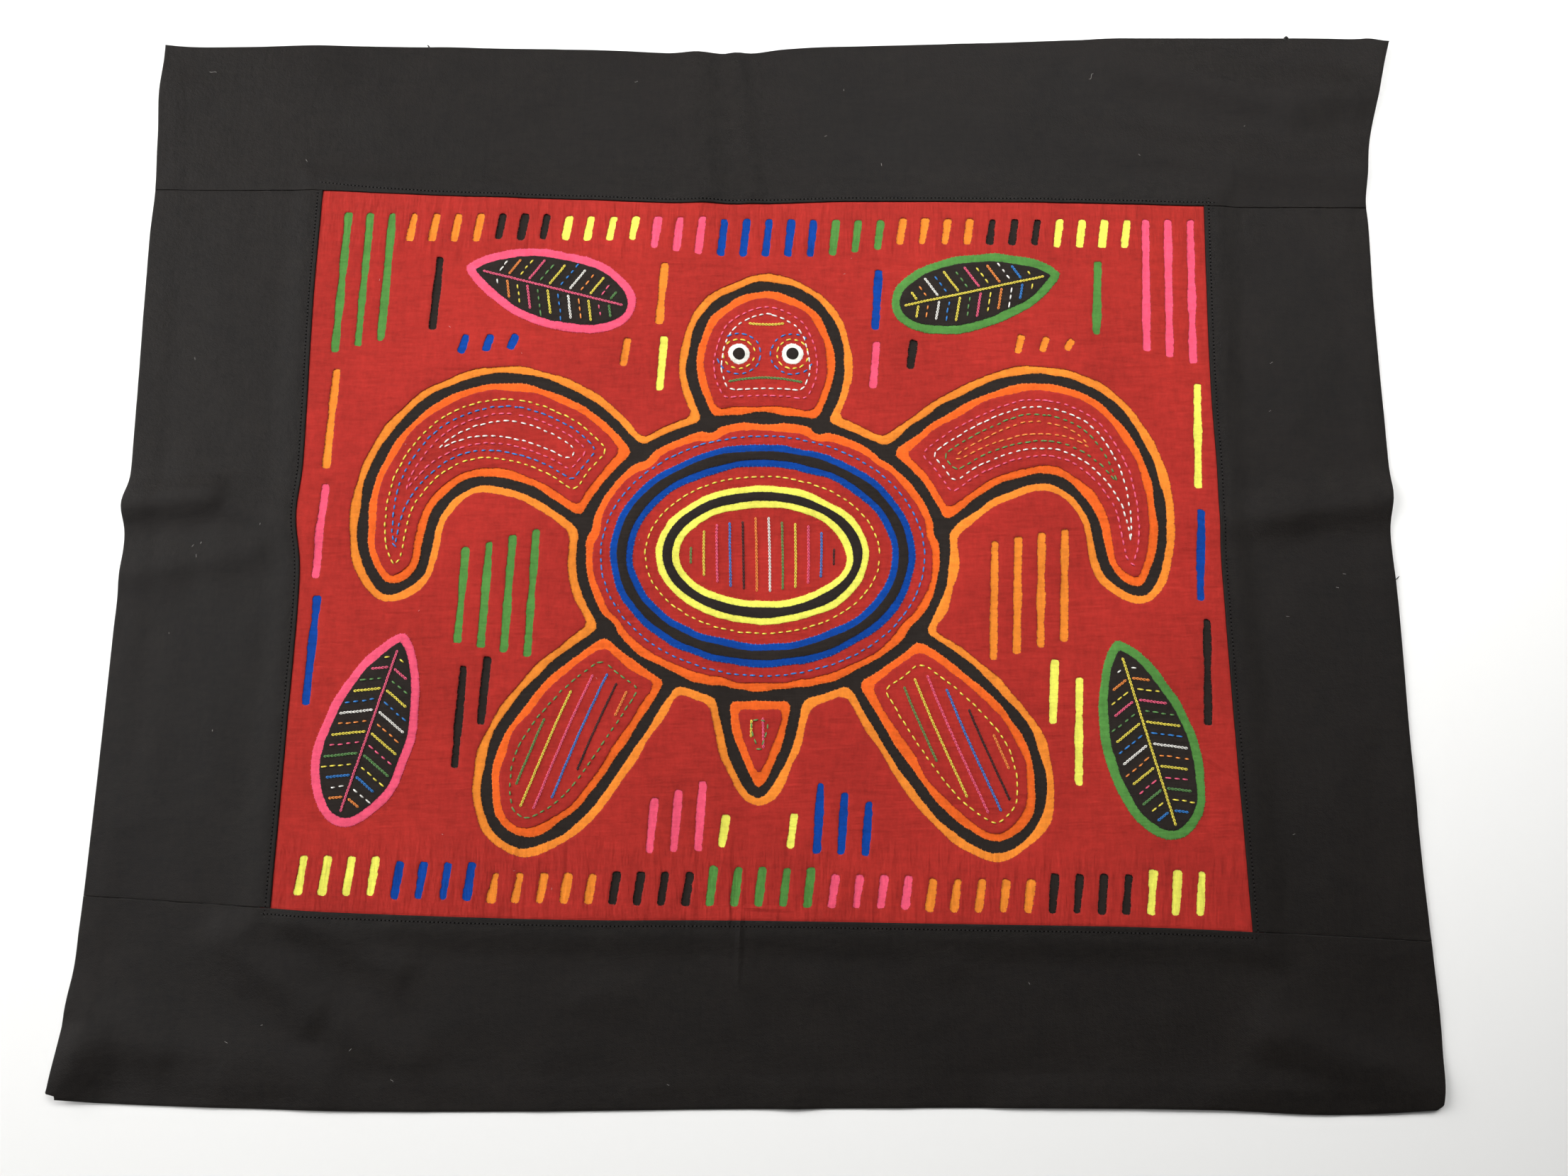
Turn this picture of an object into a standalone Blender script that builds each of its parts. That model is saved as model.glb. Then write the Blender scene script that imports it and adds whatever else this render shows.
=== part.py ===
"""Framed mola panel, lying flat: a layered cotton panel set into four black cotton strips.

Units are metres, +Z is up, and the underside lies on z = 0. X runs along the panel's width and
Y up its height. The tables below are in millimetres, measured from near the middle of the mola.
"""
from bisect import bisect_right
from math import exp, hypot

import bmesh
import bpy

MM = 0.001

# Cloth thicknesses and the working gap between sewn pieces
MOLA_THICKNESS = 1.6 * MM
BORDER_THICKNESS = 1.2 * MM
SEAM_THICKNESS = 2.0 * MM
SEAM_BAND = 6.0 * MM
SEAM_GAP = 0.3 * MM

# Middle of the outline below, which is set over the origin
MIDDLE = (0.8 * MM, 0.0 * MM)

# Usual sizes of the pieces, which set how many rows and columns their grids have
STRIP_DEPTH = 82 * MM
FULL_WIDTH = 610 * MM
WINDOW_WIDTH = 438 * MM
WINDOW_HEIGHT = 348 * MM

# Grid sizes of the sheets, and how near an even row may come to a row of its own, in steps
STRIP_STEP = 8.0 * MM
MOLA_STEP = 13.0 * MM
EDGE_ROW = 4.0 * MM
SEAM_ROWS = (SEAM_BAND, SEAM_BAND + 2 * MM)
CLEAR_OF_ROW = 0.4

# Rounds that settle a point between four curved edges
ROUNDS = 8

# Share of a fold's height that is taken off, so that its foot ends on the surface
FOLD_FOOT = 0.02

# Outer edges, columns: distance along the edge, reach out from the middle
TOP_EDGE = [
    (-306, 252.6), (-230, 253.3), (-150, 253.0), (-90, 252.2), (-32, 250.2), (-8, 250.6),
    (10, 253.2), (50, 255.1), (100, 256.6), (165, 259.2), (230, 260.3), (280, 260.0), (310, 260.2),
]
BOTTOM_EDGE = [
    (-309, -256.9), (-287, -258.8), (-240, -259.8), (-173, -260.4), (-98, -259.2), (-20, -257.0),
    (40, -255.6), (100, -254.3), (200, -253.3), (245, -254.6), (270, -254.1), (300, -251.7),
]
LEFT_EDGE = [
    (-257, -306.2), (-254, -309.6), (-233, -306.9), (-214, -305.3), (-190, -304.0), (-120, -303.3),
    (-50, -302.9), (-20, -302.2), (0, -302.4), (12, -303.6), (28, -302.5), (85, -303.5),
    (150, -305.2), (174, -304.8), (197, -306.1), (254, -307.2),
]
RIGHT_EDGE = [
    (-252, 299.2), (-249, 302.9), (-225, 304.8), (-205, 304.4), (-150, 301.7), (-90, 299.9),
    (-30, 298.8), (6, 297.2), (26, 298.6), (60, 298.0), (111, 296.6), (160, 296.6), (175, 296.0),
    (200, 299.0), (246, 308.5), (256, 311.2), (260, 308.6),
]

# Seams, columns: distance along the seam, place across it
TOP_SEAM = [
    (-305, 174.6), (-220, 174.5), (-180, 172.8), (-98, 170.6), (-13, 168.6), (43, 170.3),
    (150, 170.4), (216, 169.2), (296, 169.0),
]
BOTTOM_SEAM = [
    (-305, -169.6), (-218, -173.7), (-186, -175.2), (-83, -176.8), (-6, -175.9), (100, -176.0),
    (180, -176.2), (224, -177.5), (304, -180.6),
]
LEFT_SEAM = [(-174, -217.9), (-90, -216.9), (-20, -216.6), (12, -220.2), (35, -219.2), (118, -220.6), (174, -220.1)]
RIGHT_SEAM = [(-177, 223.9), (-84, 219.9), (-5, 217.2), (36, 217.2), (80, 215.8), (169, 216.4)]

# Folds that stand off the surface, columns: start x, start y, end x, end y, half width, height
RIDGES = [
    (-36, 262, -30, 176, 9, 2.6),
    (-17, 262, -6, 174, 5, 1.8),
    (-30, 176, -14, -176, 8, 0.7),
    (-14, -176, 24, -262, 8, 1.2),
    (-312, 12, -262, 18, 9, 4.2),
    (-262, 18, -214, 2, 10, 2.0),
    (-308, -22, -240, -8, 9, 1.8),
    (310, 24, 240, 14, 10, 3.4),
    (240, 14, 205, 6, 9, 1.4),
    (175, 246, 262, 226, 12, 3.0),
    (262, 226, 306, 232, 13, 4.2),
    (306, 232, 314, 262, 16, 4.0),
    (150, 205, 230, 192, 11, 2.2),
    (230, 192, 300, 186, 12, 2.8),
    (-314, -258, -296, -236, 15, 4.6),
    (-306, -218, -262, -236, 11, 2.4),
    (-262, -236, -190, -246, 12, 1.6),
    (-236, -186, -196, -218, 10, 2.6),
    (-196, -218, -150, -236, 10, 1.4),
    (-206, -178, -160, -200, 8, 1.8),
    (232, -222, 306, -246, 13, 2.6),
    (120, -262, 250, -240, 14, 1.2),
    (-312, 226, -230, 240, 13, 1.6),
    (-190, 214, -90, 232, 14, 1.2),
    (60, 224, 140, 206, 12, 1.4),
]

# Cloth colours, linear RGB
BLACK_COTTON = (0.028, 0.025, 0.023, 1.0)
RED_COTTON = (0.450, 0.030, 0.028, 1.0)


def read_edge(table, at):
    """Height of a smooth curve through a table's points, at a place in metres."""
    at = at / MM
    slopes = []
    for i in range(len(table)):
        before, after = table[max(i - 1, 0)], table[min(i + 1, len(table) - 1)]
        slopes.append((after[1] - before[1]) / (after[0] - before[0]))
    i = bisect_right([point[0] for point in table], at) - 1
    if i < 0:
        return (table[0][1] + slopes[0] * (at - table[0][0])) * MM
    if i >= len(table) - 1:
        return (table[-1][1] + slopes[-1] * (at - table[-1][0])) * MM
    (x0, y0), (x1, y1) = table[i], table[i + 1]
    span = x1 - x0
    t = (at - x0) / span
    value = (2 * t**3 - 3 * t**2 + 1) * y0 + (3 * t**2 - 2 * t**3) * y1
    value += (t**3 - 2 * t**2 + t) * span * slopes[i] + (t**3 - t**2) * span * slopes[i + 1]
    return value * MM


def lift(x, y):
    """How far the folds raise the cloth off the surface at a point."""
    rise = 0.0
    for x0, y0, x1, y1, half_width, height in RIDGES:
        dx, dy = x1 - x0, y1 - y0
        t = ((x / MM - x0) * dx + (y / MM - y0) * dy) / (dx * dx + dy * dy)
        t = min(max(t, 0.0), 1.0)
        away = hypot(x / MM - x0 - t * dx, y / MM - y0 - t * dy) / half_width
        rise = max(rise, height * (exp(-away * away) - FOLD_FOOT))
    return rise * MM


def edge(table, shift=0.0):
    """An edge or seam as a function, moved aside by half the gap where pieces meet."""
    return lambda at: read_edge(table, at) + shift


def place(u, v, sides):
    """Point at fractions u, v of the patch between four edges: left, right, bottom, top."""
    left, right, bottom, top = sides
    x = y = 0.0
    for _ in range(ROUNDS):
        x = left(y) + u * (right(y) - left(y))
        y = bottom(x) + v * (top(x) - bottom(x))
    return x, y


def even(length, step, near=(), far=()):
    """Fractions of a length at even steps, with rows of their own at given distances from each end."""
    marks = [distance / length for distance in near] + [1 - distance / length for distance in far]
    count = round(length / step)
    spare = CLEAR_OF_ROW * step / length
    for i in range(count + 1):
        t = i / count
        if i in (0, count) or all(abs(t - mark) > spare for mark in marks):
            marks.append(t)
    return sorted(marks)


def cloth(name, sides, columns, rows, thickness, colour):
    """Closed sheet on a grid between four edges, its underside on the surface but for the folds."""
    mesh = bmesh.new()
    grid = []
    for v in rows:
        grid.append([])
        for u in columns:
            x, y = place(u, v, sides)
            grid[-1].append(mesh.verts.new((x - MIDDLE[0], y - MIDDLE[1], lift(x, y))))
    for low, high in zip(grid, grid[1:]):
        for i in range(len(columns) - 1):
            mesh.faces.new((low[i], low[i + 1], high[i + 1], high[i]))
    upper = bmesh.ops.extrude_face_region(mesh, geom=mesh.faces[:])["geom"]
    for vert in upper:
        if isinstance(vert, bmesh.types.BMVert):
            vert.co.z += thickness(vert.co.x + MIDDLE[0], vert.co.y + MIDDLE[1])
    bmesh.ops.recalc_face_normals(mesh, faces=mesh.faces)
    data = bpy.data.meshes.new(name)
    mesh.to_mesh(data)
    mesh.free()
    part = bpy.data.objects.new(name, data)
    bpy.context.collection.objects.link(part)
    material = bpy.data.materials.new(name + "_cloth")
    material.use_nodes = True
    shader = material.node_tree.nodes["Principled BSDF"]
    shader.inputs["Base Color"].default_value = colour
    shader.inputs["Roughness"].default_value = 0.9
    data.materials.append(material)


def border_thickness(x, y):
    """Strip thickness, with the seam allowances that lie under it beside the mola."""
    across = max(
        y - read_edge(TOP_SEAM, x), read_edge(BOTTOM_SEAM, x) - y,
        read_edge(LEFT_SEAM, y) - x, x - read_edge(RIGHT_SEAM, y),
    )
    return SEAM_THICKNESS if across < SEAM_BAND + SEAM_GAP else BORDER_THICKNESS


def mola_thickness(x, y):
    """The mola's stacked layers, even all over."""
    return MOLA_THICKNESS


for old in list(bpy.data.objects):
    bpy.data.objects.remove(old, do_unlink=True)

half_gap = SEAM_GAP / 2
depth_out = even(STRIP_DEPTH, STRIP_STEP, near=SEAM_ROWS, far=(EDGE_ROW,))
depth_in = sorted(1 - t for t in depth_out)

# Panel of stacked and cut cotton layers that fills the window
cloth(
    "mola_panel",
    (edge(LEFT_SEAM, half_gap), edge(RIGHT_SEAM, -half_gap), edge(BOTTOM_SEAM, half_gap), edge(TOP_SEAM, -half_gap)),
    even(WINDOW_WIDTH, MOLA_STEP), even(WINDOW_HEIGHT, MOLA_STEP), mola_thickness, RED_COTTON,
)

# Black strips above and below, the full width of the panel
along = even(FULL_WIDTH, STRIP_STEP, near=(EDGE_ROW,), far=(EDGE_ROW,))
cloth(
    "border_top", (edge(LEFT_EDGE), edge(RIGHT_EDGE), edge(TOP_SEAM, half_gap), edge(TOP_EDGE)),
    along, depth_out, border_thickness, BLACK_COTTON,
)
cloth(
    "border_bottom", (edge(LEFT_EDGE), edge(RIGHT_EDGE), edge(BOTTOM_EDGE), edge(BOTTOM_SEAM, -half_gap)),
    along, depth_in, border_thickness, BLACK_COTTON,
)

# Black strips at the sides, between the other two
up = even(WINDOW_HEIGHT, STRIP_STEP)
cloth(
    "border_left", (edge(LEFT_EDGE), edge(LEFT_SEAM, -half_gap), edge(BOTTOM_SEAM, half_gap), edge(TOP_SEAM, -half_gap)),
    depth_in, up, border_thickness, BLACK_COTTON,
)
cloth(
    "border_right", (edge(RIGHT_SEAM, half_gap), edge(RIGHT_EDGE), edge(BOTTOM_SEAM, half_gap), edge(TOP_SEAM, -half_gap)),
    depth_out, up, border_thickness, BLACK_COTTON,
)
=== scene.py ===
# Framed mola panel lying flat: a hand-cut panel of layered cotton in four strips of black twill.
# Tables and sizes are in millimetres from near the middle of the mola, unless their name says metres.
import math

import bpy
import numpy as np
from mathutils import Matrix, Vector
from mathutils.geometry import delaunay_2d_cdt


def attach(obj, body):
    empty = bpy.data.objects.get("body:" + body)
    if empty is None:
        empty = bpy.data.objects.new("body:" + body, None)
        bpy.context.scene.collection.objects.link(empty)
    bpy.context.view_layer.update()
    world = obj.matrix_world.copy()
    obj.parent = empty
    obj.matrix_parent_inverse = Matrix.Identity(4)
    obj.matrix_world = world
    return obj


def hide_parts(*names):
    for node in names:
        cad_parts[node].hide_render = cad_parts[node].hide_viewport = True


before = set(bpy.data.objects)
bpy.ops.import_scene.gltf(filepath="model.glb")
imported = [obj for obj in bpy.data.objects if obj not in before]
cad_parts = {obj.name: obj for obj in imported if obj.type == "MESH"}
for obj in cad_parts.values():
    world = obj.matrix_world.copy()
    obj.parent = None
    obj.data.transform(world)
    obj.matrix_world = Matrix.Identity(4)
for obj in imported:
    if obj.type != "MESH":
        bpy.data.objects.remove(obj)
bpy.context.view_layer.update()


# Camera: held over the lower half of the panel and tilted ten degrees from straight down,
# 61 cm above the cloth, with the view of a 30 mm lens on a 36 mm wide frame.
CAMERA_PLACE_METRES = (0.0217, -0.1308, 0.6084)
CAMERA_TURN_DEGREES = (9.99, 0.81, 0.80)
CAMERA_LENS = 30.16

bpy.ops.object.camera_add(
    location=CAMERA_PLACE_METRES, rotation=[math.radians(turn) for turn in CAMERA_TURN_DEGREES]
)
camera = bpy.context.object
camera.name = "camera"
camera.data.lens = CAMERA_LENS
camera.data.sensor_width = 36.0
bpy.context.scene.camera = camera


# Black strips: four lengths of black cotton twill that frame the mola, their outer edges turned
# under and pressed. The top and bottom strips run the full width, and the side strips lie between.
# Beside the mola each strip lies over the panel's edge, folded along the seam, and stands higher.
MM = 0.001
MIDDLE = (0.8, 0.0)

# Outer edges and seams, columns: distance along the edge, place across it
TOP_EDGE = [
    (-306, 253.9), (-300, 253.3), (-290, 252.7), (-262, 253.0), (-234, 254.1), (-206, 253.7),
    (-150, 253.0), (-90, 252.2), (-32, 250.2), (-8, 250.6), (10, 253.2), (50, 255.1),
    (100, 256.6), (165, 259.2), (230, 260.3), (280, 260.2), (299, 259.1), (302, 259.1),
    (306, 257.6), (311, 256.8),
]
BOTTOM_EDGE = [
    (-309, -256.9), (-287, -258.8), (-240, -259.8), (-173, -260.4), (-98, -259.2), (-20, -257.0),
    (40, -255.6), (100, -254.3), (200, -253.3), (245, -254.6), (270, -254.1), (300, -251.7),
]
LEFT_EDGE = [
    (-258, -306.0), (-255.3, -306.2), (-254.7, -309.3), (-252, -309.4), (-233, -307.3),
    (-214, -305.9), (-190, -304.5), (-120, -303.4), (-50, -302.9), (-20, -302.2), (0, -302.4),
    (12, -303.6), (28, -302.5), (85, -303.5), (150, -305.2), (174, -304.8), (197, -306.1),
    (226, -307.2), (254, -307.3),
]
RIGHT_EDGE = [
    (-252, 299.2), (-249, 302.9), (-225, 304.8), (-205, 304.4), (-150, 301.7), (-90, 299.9),
    (-30, 298.8), (6, 297.2), (26, 298.6), (60, 298.0), (111, 296.6), (160, 296.6), (175, 296.0),
    (200, 299.0), (246, 308.5), (256, 311.1), (257.3, 311.3), (257.9, 308.8), (261, 308.6),
]
TOP_SEAM = [
    (-305, 174.6), (-220, 174.5), (-180, 172.8), (-98, 170.6), (-13, 168.6), (43, 170.3),
    (150, 170.4), (216, 169.2), (296, 169.0),
]
BOTTOM_SEAM = [
    (-305, -169.6), (-218, -173.7), (-186, -175.2), (-83, -176.8), (-6, -175.9), (100, -176.0),
    (180, -176.2), (224, -177.5), (304, -180.6),
]
LEFT_SEAM = [
    (-174, -217.9), (-90, -216.9), (-20, -216.6), (12, -220.2), (35, -219.2), (118, -220.6),
    (174, -220.1),
]
RIGHT_SEAM = [(-177, 223.9), (-84, 219.9), (-5, 217.2), (36, 217.2), (80, 215.8), (169, 216.4)]

# Folds, columns: start x, start y, end x, end y, half width, height
RIDGES = [
    (-36, 262, -30, 176, 9, 2.6),
    (-17, 262, -6, 174, 5, 1.8),
    (-30, 176, -14, -176, 8, 0.7),
    (-14, -176, 24, -262, 8, 1.2),
    (-312, 12, -262, 18, 9, 4.2),
    (-262, 18, -214, 2, 10, 2.0),
    (-308, -22, -240, -8, 9, 1.8),
    (310, 24, 240, 14, 10, 3.4),
    (240, 14, 205, 6, 9, 1.4),
    (175, 246, 262, 226, 12, 3.0),
    (262, 226, 306, 232, 13, 4.2),
    (306, 232, 314, 262, 16, 4.0),
    (150, 205, 230, 192, 11, 2.2),
    (230, 192, 300, 186, 12, 2.8),
    (-314, -258, -296, -236, 15, 4.6),
    (-306, -218, -262, -236, 11, 2.4),
    (-262, -236, -190, -246, 12, 1.6),
    (-236, -186, -196, -218, 10, 2.6),
    (-196, -218, -150, -236, 10, 1.4),
    (-206, -178, -160, -200, 8, 1.8),
    (232, -222, 306, -246, 13, 2.6),
    (120, -262, 250, -240, 14, 1.2),
    (-312, 226, -230, 240, 13, 1.6),
    (-190, 214, -90, 232, 14, 1.2),
    (60, 224, 140, 206, 12, 1.4),
]
FOLD_FOOT = 0.02
# Puckers between the folds, columns: height, shortest and longest wave, seed
PUCKERS = [(0.22, 34, 90, 3), (0.07, 11, 22, 5)]
# Waves of the strips, in the same columns, and how much longer they are lengthways
STRIP_WAVES = (0.20, 16, 44, 8)
LENGTHWAYS = 0.45

# Rounds that settle a place between four curved edges
ROUNDS = 8

# Usual sizes of the strips, which set their rows and columns
STRIP_DEPTH = 85.0
FULL_WIDTH = 610.0
WINDOW_HEIGHT = 348.0

# Twill thickness, and the heights and widths of the seam, of the row of stitches and of the hem
TWILL = 0.55
SEAM_TOP = 1.95
SEAM_UNDER = 1.45
SEAM_DIP = 0.45
SEAM_WIDTH = 6.0
SEAM_SLOPE = 12.0
STITCH_OUT = 2.2
STITCH_SINK = 0.07
STITCH_DITCH = 1.1
HEM_WIDTH = 11.0
HEM_SLOPE = 3.0
HEM_STEP = 0.35

# Rounds of the folded edges, and the share of a full round that the pressed ones keep
SEAM_ROUND = 0.8
JOIN_ROUND = 0.32
HEM_ROUND = 0.45
PRESSED = 0.4


def read_edge(table, at):
    """Height of a smooth curve through a table's points, for an array of places along it."""
    xs, ys = np.array(table, float).T
    slopes = np.empty_like(ys)
    slopes[1:-1] = (ys[2:] - ys[:-2]) / (xs[2:] - xs[:-2])
    slopes[0] = (ys[1] - ys[0]) / (xs[1] - xs[0])
    slopes[-1] = (ys[-1] - ys[-2]) / (xs[-1] - xs[-2])
    i = np.clip(np.searchsorted(xs, at, side="right") - 1, 0, len(xs) - 2)
    span = xs[i + 1] - xs[i]
    t = (at - xs[i]) / span
    curve = (2 * t**3 - 3 * t**2 + 1) * ys[i] + (3 * t**2 - 2 * t**3) * ys[i + 1]
    curve = curve + (t**3 - 2 * t**2 + t) * span * slopes[i] + (t**3 - t**2) * span * slopes[i + 1]
    before = ys[0] + slopes[0] * (at - xs[0])
    after = ys[-1] + slopes[-1] * (at - xs[-1])
    return np.where(at < xs[0], before, np.where(at > xs[-1], after, curve))


def uneven(x, y, short, long, seed, waves=14):
    """Smooth irregular waves between two wavelengths, about one unit high."""
    draw = np.random.default_rng(seed)
    total = np.zeros(np.shape(x))
    for _ in range(waves):
        turn = draw.uniform(0, math.tau)
        pitch = math.tau / draw.uniform(short, long)
        total += np.sin(pitch * (x * math.cos(turn) + y * math.sin(turn)) + draw.uniform(0, math.tau))
    return total / math.sqrt(waves)


def lie(x, y):
    """Height of the cloth's underside where it lies: its folds and the puckers between them."""
    rise = np.zeros(np.shape(x))
    for x0, y0, x1, y1, half_width, height in RIDGES:
        dx, dy = x1 - x0, y1 - y0
        t = np.clip(((x - x0) * dx + (y - y0) * dy) / (dx * dx + dy * dy), 0, 1)
        away = np.hypot(x - x0 - t * dx, y - y0 - t * dy) / half_width
        rise = np.maximum(rise, height * (np.exp(-away * away) - FOLD_FOOT))
    puckers = sum(high * uneven(x, y, short, long, seed) for high, short, long, seed in PUCKERS)
    return rise + np.maximum(puckers, 0)


def from_window(x, y):
    """How far a place on the strips is from the mola's opening."""
    sides = (
        read_edge(LEFT_SEAM, y) - x, x - read_edge(RIGHT_SEAM, y),
        read_edge(BOTTOM_SEAM, x) - y, y - read_edge(TOP_SEAM, x),
    )
    return np.maximum.reduce(sides)


def ease(value, start, end):
    """1 up to start, 0 from end on, smooth between."""
    t = np.clip((value - start) / (end - start), 0, 1)
    return 1 - t * t * (3 - 2 * t)


def rounded(distance, radius):
    """Drop of a folded edge's round at a distance in from it."""
    t = np.clip(1 - distance / radius, 0, 1)
    return radius * (1 - np.sqrt(1 - t * t))


def add_mesh(name, points, faces):
    """New object at the origin from places in millimetres."""
    places = (np.asarray(points, float) - (MIDDLE[0], MIDDLE[1], 0)) * MM
    mesh = bpy.data.meshes.new(name)
    mesh.from_pydata(places.tolist(), [], faces)
    mesh.validate()
    piece = bpy.data.objects.new(name, mesh)
    bpy.context.collection.objects.link(piece)
    return piece


def dress(piece, material):
    """Gives a piece its material and its body."""
    piece.data.materials.append(material)
    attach(piece, "root")
    return piece


def smooth(piece, degrees):
    """Smooth shading that stays crisp at edges sharper than an angle."""
    bpy.ops.object.select_all(action="DESELECT")
    piece.select_set(True)
    bpy.context.view_layer.objects.active = piece
    bpy.ops.object.shade_smooth_by_angle(angle=math.radians(degrees))
    return piece


def strip(name, left, right, bottom, top, u, v, hems):
    """Closed sheet of twill between four edges, with its grid's fractions and its hemmed sides."""
    x = np.zeros((len(v), len(u)))
    y = np.zeros((len(v), len(u)))
    for _ in range(ROUNDS):
        x = left(y) + u[None, :] * (right(y) - left(y))
        y = bottom(x) + v[:, None] * (top(x) - bottom(x))
    window = from_window(x, y)
    inset = {"left": x - left(y), "right": right(y) - x, "bottom": y - bottom(x), "top": top(x) - y}
    edge = np.minimum.reduce([inset[side] for side in hems])
    join = np.minimum.reduce([np.abs(distance) for distance in inset.values()])
    beside = ease(window, SEAM_WIDTH - 1.0, SEAM_WIDTH + SEAM_SLOPE)
    upper = TWILL + (SEAM_TOP - TWILL) * beside
    upper += HEM_STEP * ease(edge, HEM_WIDTH, HEM_WIDTH + HEM_SLOPE) * (1 - beside)
    upper -= PRESSED * rounded(window, SEAM_ROUND)
    upper -= STITCH_SINK * np.exp(-(((window - STITCH_OUT) / STITCH_DITCH) ** 2))
    upper -= np.where(window > 1.0, rounded(join, JOIN_ROUND), 0)
    upper -= PRESSED * rounded(edge, HEM_ROUND)
    under = SEAM_UNDER * ease(window, SEAM_WIDTH - 1.2, SEAM_WIDTH + 1.8)
    under -= SEAM_DIP * np.exp(-((window / 0.3) ** 2))
    stretch = (LENGTHWAYS, 1.0) if np.ptp(x) > np.ptp(y) else (1.0, LENGTHWAYS)
    high, short, long, seed = STRIP_WAVES
    waves = high * uneven(stretch[0] * x, stretch[1] * y, short, long, seed)
    ground = lie(x, y) + waves * ease(-window, -18, -9)
    over = np.stack([x, y, np.maximum(ground, 0) + upper], axis=-1).reshape(-1, 3)
    below = np.stack([x, y, np.maximum(ground, 0) + under], axis=-1).reshape(-1, 3)
    rows, columns = x.shape
    faces = []
    for j in range(rows - 1):
        for i in range(columns - 1):
            a = j * columns + i
            faces.append((a, a + 1, a + columns + 1, a + columns))
    count = rows * columns
    faces += [tuple(count + k for k in reversed(face)) for face in faces]
    rim = list(range(columns))
    rim += [j * columns + columns - 1 for j in range(1, rows)]
    rim += [(rows - 1) * columns + i for i in range(columns - 2, -1, -1)]
    rim += [j * columns for j in range(rows - 2, 0, -1)]
    for a, b in zip(rim, rim[1:] + rim[:1]):
        faces.append((a, count + a, count + b, b))
    return smooth(add_mesh(name, np.concatenate([over, below]), faces), 60)


def curve(table, shift=0.0):
    """An edge or seam as a function, moved aside by half the gap between two pieces."""
    return lambda at: read_edge(table, at) + shift


# Rows of the strips: distances from the seam, from the outer edge and from a side strip's ends
SEAM_ROWS = (0, 0.12, 0.3, 0.55, 0.85, 1.3, 2.2, 3.2, 4.4, 6.0, 8.0, 10.5, 13.5)
EDGE_ROWS = (0, 0.12, 0.45, 1.6, 2.3, 2.9, 5.0)
END_ROWS = (0, 0.12, 0.45, 1.5, 4.0)
HALF_GAP = 0.04
outward = np.concatenate([SEAM_ROWS, np.linspace(SEAM_ROWS[-1], STRIP_DEPTH, 25)]) / STRIP_DEPTH
outward = np.unique(np.concatenate([outward[outward < 0.93], 1 - np.array(EDGE_ROWS) / STRIP_DEPTH]))
inward = np.sort(1 - outward)
end_columns = np.array(EDGE_ROWS) / FULL_WIDTH
along = np.unique(np.concatenate([np.linspace(0, 1, 236), end_columns, 1 - end_columns]))
end_rows = np.array(END_ROWS) / WINDOW_HEIGHT
upward = np.unique(np.concatenate([np.linspace(0, 1, 134), end_rows, 1 - end_rows]))

left_edge, right_edge = curve(LEFT_EDGE), curve(RIGHT_EDGE)
seams_between = curve(BOTTOM_SEAM, HALF_GAP), curve(TOP_SEAM, -HALF_GAP)
strips = {
    "top_strip": strip(
        "top_strip", left_edge, right_edge, curve(TOP_SEAM, HALF_GAP), curve(TOP_EDGE),
        along, outward, ("top", "left", "right"),
    ),
    "bottom_strip": strip(
        "bottom_strip", left_edge, right_edge, curve(BOTTOM_EDGE), curve(BOTTOM_SEAM, -HALF_GAP),
        along, inward, ("bottom", "left", "right"),
    ),
    "left_strip": strip(
        "left_strip", left_edge, curve(LEFT_SEAM), *seams_between, inward, upward, ("left",)
    ),
    "right_strip": strip(
        "right_strip", curve(RIGHT_SEAM), right_edge, *seams_between, outward, upward, ("right",)
    ),
}


def node(tree, kind, place, **values):
    """Shader node at a place, with its settings or input values."""
    made = tree.nodes.new(kind)
    made.location = (200 * place[0], -220 * place[1])
    for key, value in values.items():
        if key in made.inputs:
            made.inputs[key].default_value = value
        else:
            setattr(made, key, value)
    return made


def wire(tree, *links):
    """Links in a node tree, each given as a node, its output, the next node and its input."""
    for giver, output, taker, slot in links:
        tree.links.new(giver.outputs[output], taker.inputs[slot])


def new_group(name, numbers, outputs):
    """Empty shader node group with number inputs and named outputs."""
    group = bpy.data.node_groups.new(name, "ShaderNodeTree")
    for label, value in numbers.items():
        socket = group.interface.new_socket(label, in_out="INPUT", socket_type="NodeSocketFloat")
        socket.default_value = value
    for label in outputs:
        group.interface.new_socket(label, in_out="OUTPUT", socket_type="NodeSocketFloat")
    return group, node(group, "NodeGroupInput", (-6, 0)), node(group, "NodeGroupOutput", (6, 0))


def cloth_wear():
    """Slow fading of dyed cotton, and its uneven yarn running both ways, as a mask round 0.5."""
    group, into, out = new_group("cloth_wear", {"Mottle": 0.5}, ["Mask"])
    place = node(group, "ShaderNodeTexCoord", (-6, 0))
    broad = node(group, "ShaderNodeTexNoise", (-2, 3), Scale=17.0, Detail=4.0, Roughness=0.55)
    yarn = node(group, "ShaderNodeMix", (0, 1))
    blend = node(group, "ShaderNodeMix", (2, 2))
    for row, (slot, stretch) in enumerate((("A", (0.3, 1.0, 1.0)), ("B", (1.0, 0.3, 1.0)))):
        stretched = node(group, "ShaderNodeMapping", (-4, row), Scale=stretch)
        streaks = node(group, "ShaderNodeTexNoise", (-2, row), Scale=430.0, Detail=4.0, Roughness=0.78)
        wire(
            group,
            (place, "Object", stretched, "Vector"),
            (stretched, "Vector", streaks, "Vector"),
            (streaks, "Fac", yarn, slot),
        )
    wire(
        group,
        (place, "Object", broad, "Vector"),
        (into, "Mottle", blend, "Factor"),
        (broad, "Fac", blend, "A"),
        (yarn, "Result", blend, "B"),
        (blend, "Result", out, "Mask"),
    )
    return group


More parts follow.
